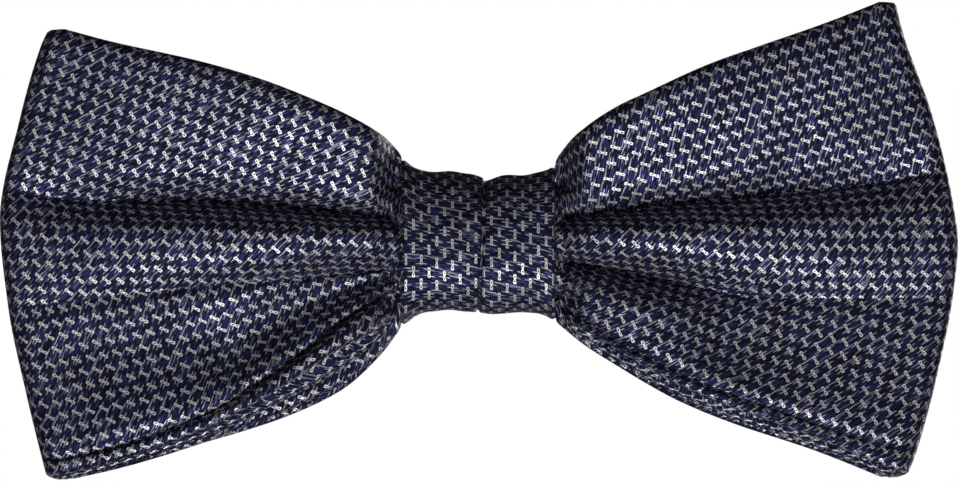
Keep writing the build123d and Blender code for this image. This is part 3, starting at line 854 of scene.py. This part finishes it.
# ---------------------------------------------------------------- pieces


def finish_piece(piece, material, body, slot, *nodes):
    """Material, body and the CAD nodes that the piece stands for; slot is not used."""
    piece.data.materials.clear()
    piece.data.materials.append(material)
    if body:
        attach(piece, body)
    if nodes:
        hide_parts(*nodes)
    return piece


def build_bows(cloth, lining):
    for name, face_layer, back_layer in (
        ("front_ribbon_bow", "front", "front_back"),
        ("rear_ribbon_bow", "rear", "rear_back"),
    ):
        piece, grid = ribbon_bow(name, face_layer, back_layer)
        node = "front_bow" if face_layer == "front" else "rear_bow"
        finish_piece(piece, cloth, "bow", "jacquard", node)
        inner = stiffener(f"{node}_stiffener", grid, front_normals(grid), INTERLINING_DEPTHS, 4, 0.6)
        finish_piece(inner, lining, "bow", "interlining", f"{node}_interlining")


def knot_band():
    """The knot: a strip wrapped round the middle, its left half lapped over its right down the front."""
    nt = 220
    near_lap = np.linspace(-0.9, 1.6, 34)
    x = np.concatenate([
        np.linspace(BAND_LOW[0], near_lap[0], 44, endpoint=False),
        near_lap,
        np.linspace(near_lap[-1], BAND_HIGH[0], 41)[1:],
    ])
    nx = len(x)
    turn = np.linspace(0, 2 * np.pi, nt, endpoint=False) - np.pi / 2
    X, T = np.meshgrid(x, turn, indexing="ij")
    edge = np.abs(X) / BAND_HIGH[0]
    flare = np.where(X < 0, 0.16, 0.09)
    y, z = knot_profile(T, 1 + 0.03 * edge**3 + flare * edge**6)
    outward = np.stack([np.zeros_like(y), -np.cos(T), np.sin(T)], axis=-1)
    # The distance from the lap line, which leans to the right as it rises.
    gap = X - (0.35 + 0.045 * z)
    front = smooth((np.cos(T) + 0.35) / 0.6)
    # The left half rises towards the lap line, the right half sinks, and the line is a narrow groove.
    lap = np.where(gap < 0, 0.3 * hump(gap, 1.6), -0.5 * np.exp(-np.abs(gap) / 0.75))
    lap = lerp(lap, -0.85, hump(gap - 0.1, 0.2))
    up, down = smooth((np.sin(T) - 0.55) / 0.4), smooth((-np.sin(T) - 0.55) / 0.4)
    notch = 0.75 * hump(X - 0.8, 1.3) * up
    slump = 0.15 * smooth((X - 1.0) / 1.5) * up
    # Above a slanting line from the top left to the notch, the left half is tucked back.
    above_line = (X + 4.4) * 0.685 + (z - 8.7) * 0.729
    tuck = 1.3 * smooth(above_line / 1.1) * smooth(0.5 - gap / 0.6) * smooth(np.cos(T) / 0.25)
    swell = 0.34 * hump(X + 3.4, 2.4) * up
    step = 0.5 * smooth((gap + 0.15) / 0.4) * (1 - 0.9 * smooth((X - 3.0) / 3.0)) * down
    waves = 0.05 * np.sin(X * 1.7 + z * 0.9) + 0.05 * np.sin(X * 0.8 - z * 1.6 + 1.0)
    push = lap * front - notch - slump + swell + step + waves
    outer = np.stack([X, y + tuck, z], axis=-1) + outward * push[..., None]
    points_grid = np.swapaxes(outer, 0, 1)
    n = outward_normals(points_grid, np.swapaxes(outward, 0, 1))
    inside = stiffener("knot_band_stiffener", points_grid, n, KNOT_STIFFENER_DEPTHS, 6, 0.3)
    ring = thick_ring(points_grid, n, BAND_WALL)
    arc = run_lengths(points_grid[:, nx // 2])
    arc = np.append(arc, arc[-1] + arc[1])
    rows, count = ring.shape[:2]
    sheet_column, past = ring_columns(nx, 0.35)
    places = x[sheet_column] + past

    def coordinate(face_row, face_column, row, column):
        px = places[column % count]
        return -arc[row] - 0.2 * px, px * 1.07 + 0.35

    faces, uvs = closed_faces(rows, count, coordinate)
    return make_piece("knot_band_cloth", ring, faces, uvs), inside


def tube(path, radius, sides=8, closed=False):
    """Points, faces and coordinates of a round tube along a list of points."""
    path = np.asarray(path, float)
    if closed:
        tangent = np.roll(path, -1, axis=0) - np.roll(path, 1, axis=0)
    else:
        tangent = np.gradient(path, axis=0)
    tangent /= np.linalg.norm(tangent, axis=1, keepdims=True)
    up = np.array([0.0, 0.0, 1.0])
    if abs(tangent[0] @ up) > 0.9:
        up = np.array([1.0, 0.0, 0.0])
    side = np.cross(tangent[0], up)
    sides_of = []
    for t in tangent:
        side = side - (side @ t) * t
        side = side / np.linalg.norm(side)
        sides_of.append(side)
    sides_of = np.array(sides_of)
    other = np.cross(tangent, sides_of)
    a = np.linspace(0, 2 * np.pi, sides, endpoint=False)
    points = path[:, None] + radius * (np.cos(a)[None, :, None] * sides_of[:, None]
                                       + np.sin(a)[None, :, None] * other[:, None])
    length = run_lengths(path)
    rows = len(path)
    faces, uvs = [], []
    around = 2 * np.pi * radius / sides * np.arange(sides + 1)
    for i in range(rows if closed else rows - 1):
        i2 = (i + 1) % rows
        start = length[i]
        stop = start + np.linalg.norm(path[i2] - path[i])
        for j in range(sides):
            k = (j + 1) % sides
            faces.append((i * sides + j, i * sides + k, i2 * sides + k, i2 * sides + j))
            uvs += [(start, around[j]), (start, around[j + 1]), (stop, around[j + 1]), (stop, around[j])]
    points = points.reshape(-1, 3)
    if not closed:
        first_end = len(points)
        last_row = (rows - 1) * sides
        points = np.concatenate([points, path[:1], path[-1:]])
        for j in range(sides):
            k = (j + 1) % sides
            faces += [(first_end, k, j), (first_end + 1, last_row + j, last_row + k)]
            uvs += [(0, 0), (0, 0.1), (0.1, 0)] * 2
    return points, faces, uvs


def tubes_piece(name, paths, radius, sides=8, closed=False):
    """Several tubes as one piece."""
    points, faces, uvs = [], [], []
    for path in paths:
        p, f, u = tube(path, radius, sides, closed)
        shift = sum(len(q) for q in points)
        points.append(p)
        faces += [tuple(c + shift for c in face) for face in f]
        uvs += u
    return make_piece(name, np.concatenate(points), faces, uvs)


def solid_boxes(node):
    """The CAD node's separate solids as boxes in mm, from its mesh's loose parts."""
    bm = bmesh.new()
    bm.from_mesh(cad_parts[node].data)
    bmesh.ops.remove_doubles(bm, verts=bm.verts, dist=1e-7)
    left = set(bm.verts)
    boxes = []
    while left:
        waiting = [left.pop()]
        corners = []
        while waiting:
            vert = waiting.pop()
            corners.append(np.array(vert.co) / MM)
            beside = {edge.other_vert(vert) for edge in vert.link_edges} & left
            left -= beside
            waiting += beside
        boxes.append((np.min(corners, axis=0), np.max(corners, axis=0)))
    bm.free()
    return sorted(boxes, key=lambda box: tuple(np.round(box[0], 3)))


def stitches(name, node, thread):
    """Each stitch is a low arch of thread between its two needle holes."""
    paths = []
    for low, high in solid_boxes(node):
        centre = (low + high) / 2
        size = high - low
        axis = int(np.argmax(size))
        t = np.linspace(-1, 1, 13)
        path = np.repeat(centre[None, :], len(t), axis=0)
        path[:, axis] += t * (size[axis] / 2 + 0.1)
        path[:, 1] = low[1] - 0.12 + (size[1] - 0.02) * np.sqrt(np.clip(1.02 - t**2, 0, 1))
        paths.append(path)
    piece = tubes_piece(name, paths, STITCH_RADIUS)
    return finish_piece(piece, thread, "bow", "thread", node)


def gathering_thread(thread):
    """The turns of thread that pinch the middle, just inside the knot band."""
    paths = []
    turn = np.linspace(0, 2 * np.pi, 72, endpoint=False)
    y, z = knot_profile(turn, inset=THREAD_INSET)
    for low, high in solid_boxes("gathering_thread"):
        x = np.full(len(turn), (low[0] + high[0]) / 2)
        paths.append(np.stack([x, y, z], axis=1))
    piece = tubes_piece("gathering_turns", paths, GATHER_RADIUS, closed=True)
    return finish_piece(piece, thread, "bow", "thread", "gathering_thread")


def keeper_loop(cloth):
    """The keeper: a band of grosgrain round the plate, with soft corners."""
    mid_y = (KEEPER_LOW[1] + KEEPER_HIGH[1]) / 2
    half_y = (KEEPER_HIGH[1] - KEEPER_LOW[1]) / 2
    half_z = (KEEPER_HIGH[2] - KEEPER_LOW[2]) / 2
    corner, wall, step = 0.75, 0.55, 0.4
    path = []
    for cy, cz, start in ((1, 1, 0), (-1, 1, 90), (-1, -1, 180), (1, -1, 270)):
        for a in np.radians(np.linspace(start, start + 90, 7)):
            path.append((mid_y + cy * (half_y - corner) + corner * math.cos(a),
                         cz * (half_z - corner) + corner * math.sin(a)))
    path = np.array(path)
    fine = []
    for a, b in zip(path, np.roll(path, -1, axis=0)):
        steps = max(1, int(np.linalg.norm(b - a) / step))
        for k in range(steps):
            fine.append(lerp(a, b, k / steps))
    path = np.array(fine)
    nx = 25
    x = np.linspace(KEEPER_LOW[0], KEEPER_HIGH[0], nx)
    grid = np.zeros((len(path), nx, 3))
    grid[:, :, 0] = x[None, :]
    grid[:, :, 1] = path[:, :1]
    grid[:, :, 2] = path[:, 1:]
    n = outward_normals(grid, grid - np.array([0, mid_y, 0]))
    ring = thick_ring(grid, n, wall)
    arc = run_lengths(path)
    arc = np.append(arc, arc[-1] + step)
    rows, count = ring.shape[:2]
    places = x[ring_columns(nx, 0)[0]]
    faces, uvs = closed_faces(rows, count, lambda i, j, row, column: (arc[row], places[column % count]))
    piece = make_piece("keeper_band", ring, faces, uvs)
    finish_piece(piece, cloth, "bow", "lining_cloth", "keeper_loop")
    return piece


def torsion_spring(name, side, wire):
    """A wound spring with one leg on the plate and the other on its arm; the piece is put on no body."""
    centre_x = side * (PIN_LOW[0] + PIN_HIGH[0]) / 2
    centre_y = (PIN_LOW[1] + PIN_HIGH[1]) / 2
    radius, turns, half_height, leg = 1.1, 6.5, 1.6, 3.6
    lean = math.radians(14)
    leg_steps = 10
    path = []
    foot = np.array([centre_x + side * radius * math.sin(lean), centre_y - radius * math.cos(lean)])
    foot_run = np.array([-side * math.cos(lean), -math.sin(lean)])
    for k in range(leg_steps):
        p = foot + foot_run * leg * (1 - k / leg_steps)
        path.append((p[0], p[1], -half_height))
    start = math.atan2(foot[1] - centre_y, side * (foot[0] - centre_x))
    end = math.pi / 2 + 2 * math.pi * math.ceil(turns - 0.5)
    steps = 150
    for k in range(steps + 1):
        a = lerp(start, end, k / steps)
        path.append((centre_x + side * radius * math.cos(a), centre_y + radius * math.sin(a),
                     lerp(-half_height, half_height, k / steps)))
    for k in range(1, leg_steps + 1):
        path.append((centre_x - side * leg * k / leg_steps, centre_y + radius, half_height))
    piece = tubes_piece(name, [path], SPRING_WIRE_RADIUS, sides=10)
    side_name = "right" if side > 0 else "left"
    finish_piece(piece, wire, None, "spring_wire", f"{side_name}_spring")
    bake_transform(piece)
    return piece


def metal_copy(node, name, body, slot, material, width):
    """A CAD metal part with its sharp edges softened."""
    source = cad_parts[node]
    mesh = source.data.copy()
    mesh.name = name
    obj = add_object(name, mesh)
    weld = obj.modifiers.new("weld", "WELD")
    weld.merge_threshold = 2e-6
    bevel = obj.modifiers.new("bevel", "BEVEL")
    bevel.width = width * MM
    bevel.segments = 2
    bevel.limit_method = "ANGLE"
    bevel.angle_limit = math.radians(35)
    bevel.harden_normals = False
    depsgraph = bpy.context.evaluated_depsgraph_get()
    final = bpy.data.meshes.new_from_object(obj.evaluated_get(depsgraph))
    obj.modifiers.clear()
    obj.data = final
    final.polygons.foreach_set("use_smooth", [True] * len(final.polygons))
    final.set_sharp_from_angle(angle=math.radians(40))
    return finish_piece(obj, material, body, slot, node)


def build_clip(nickel, pin, wire, rubber):
    metal_copy("clip_plate", "stamped_plate", "bow", "nickel_steel", nickel, 0.12)
    for side_name, side in (("left", -1), ("right", 1)):
        arm = f"{side_name}_arm"
        metal_copy(f"{side_name}_clip_arm", f"{side_name}_stamped_arm", arm, "nickel_steel", nickel, 0.1)
        metal_copy(f"{side_name}_hinge_pin", f"{side_name}_riveted_pin", "bow", "pin_steel", pin, 0.12)
        metal_copy(f"{side_name}_grip_pad", f"{side_name}_moulded_pad", arm, "pad_rubber", rubber, 0.1)
        torsion_spring(f"{side_name}_wound_spring", side, wire)


# ---------------------------------------------------------------- stage, light and camera


def build_stage():
    """A plain pale floor well below the tie, which is held up by its clip."""
    size, drop = 3.0, -0.40
    mesh = bpy.data.meshes.new("floor")
    mesh.from_pydata([(-size, -size, drop), (size, -size, drop), (size, size, drop), (-size, size, drop)],
                     [], [(0, 1, 2, 3)])
    floor = add_object("floor", mesh)
    g = Graph("floor_paper")
    tone = g.noise(g.object_place(), 3.0, 2.0)
    g.set("Base Color", g.mix(tone, (0.80, 0.80, 0.79, 1), (0.84, 0.84, 0.83, 1)))
    g.set("Roughness", 0.9)
    mesh.materials.append(g.material)
    # The floor is for the camera alone: its bounce would light the tie from below.
    floor.visible_diffuse = False
    floor.visible_glossy = False


def area_light(name, place, target, size, power, colour=(1, 1, 1)):
    """A soft rectangular light that the camera doesn't see."""
    data = bpy.data.lights.new(name, "AREA")
    data.shape = "RECTANGLE"
    data.size, data.size_y = size
    data.energy = power
    data.color = colour
    light = add_object(name, data)
    light.location = place
    direction = Vector(target) - Vector(place)
    light.rotation_euler = direction.to_track_quat("-Z", "Y").to_euler()
    light.visible_camera = False


def build_light():
    world = bpy.data.worlds.new("studio")
    bpy.context.scene.world = world
    world.use_nodes = True
    tree = world.node_tree
    background = tree.nodes["Background"]
    background.inputs["Color"].default_value = (1, 1, 1, 1)
    background.inputs["Strength"].default_value = 0.06
    backdrop = tree.nodes.new("ShaderNodeBackground")
    backdrop.inputs["Color"].default_value = (1, 1, 1, 1)
    backdrop.inputs["Strength"].default_value = 1.0
    path = tree.nodes.new("ShaderNodeLightPath")
    mix = tree.nodes.new("ShaderNodeMixShader")
    tree.links.new(path.outputs["Is Camera Ray"], mix.inputs[0])
    tree.links.new(background.outputs[0], mix.inputs[1])
    tree.links.new(backdrop.outputs[0], mix.inputs[2])
    tree.links.new(mix.outputs[0], tree.nodes["World Output"].inputs["Surface"])
    area_light("key_low_front", (0.02, -0.39, -0.27), (0, -0.012, 0), (0.26, 0.12), 1.3)
    area_light("fill_front", (-0.15, -0.7, 0.15), (0, 0, 0), (0.5, 0.5), 0.10)
    area_light("floor_wash", (0, 0, -0.20), (0, 0, -0.40), (4.0, 4.0), 45.0)
    area_light("rear_soft", (0.25, 0.7, -0.02), (0, 0, 0), (0.4, 0.4), 2.5)


def build_camera():
    """A long lens straight in front, so that the outline fills the frame as in a flat product shot."""
    distance, frame_width = 1.6, 0.12063
    data = bpy.data.cameras.new("camera")
    data.sensor_width = 36.0
    data.lens = 36.0 * distance / frame_width
    data.clip_end = 50
    camera = add_object("camera", data)
    nudge = 0.00006
    camera.location = (nudge, -distance + FRONT_LOW[1] * MM * 0.7, -nudge)
    camera.rotation_euler = (math.radians(90), 0, 0)
    bpy.context.scene.camera = camera


# ---------------------------------------------------------------- build

scene = bpy.context.scene
scene.view_settings.view_transform = "Standard"

build_camera()
CLOTH_MATERIAL = jacquard()
THREAD_MATERIAL = sewing_thread()
LINING_MATERIAL = plain_cloth("interlining_cloth", (0.72, 0.70, 0.64), 0.5)
KEEPER_MATERIAL = plain_cloth("keeper_cloth", (0.020, 0.022, 0.075), 0.35, rough=0.6)

knot, knot_stiffener = knot_band()
finish_piece(knot, CLOTH_MATERIAL, "bow", "jacquard", "knot_band")
finish_piece(knot_stiffener, LINING_MATERIAL, "bow", "interlining", "knot_interlining")
build_bows(CLOTH_MATERIAL, LINING_MATERIAL)
stitches("keeper_tacks", "keeper_stitches", THREAD_MATERIAL)
stitches("knot_slip_stitches", "knot_seam_stitches", THREAD_MATERIAL)
gathering_thread(THREAD_MATERIAL)
keeper_loop(KEEPER_MATERIAL)
build_clip(nickel_steel(), bright_steel("pin_steel", (0.80, 0.80, 0.79), 0.12),
           bright_steel("spring_wire", (0.46, 0.45, 0.44), 0.22), pad_rubber())
build_stage()
build_light()
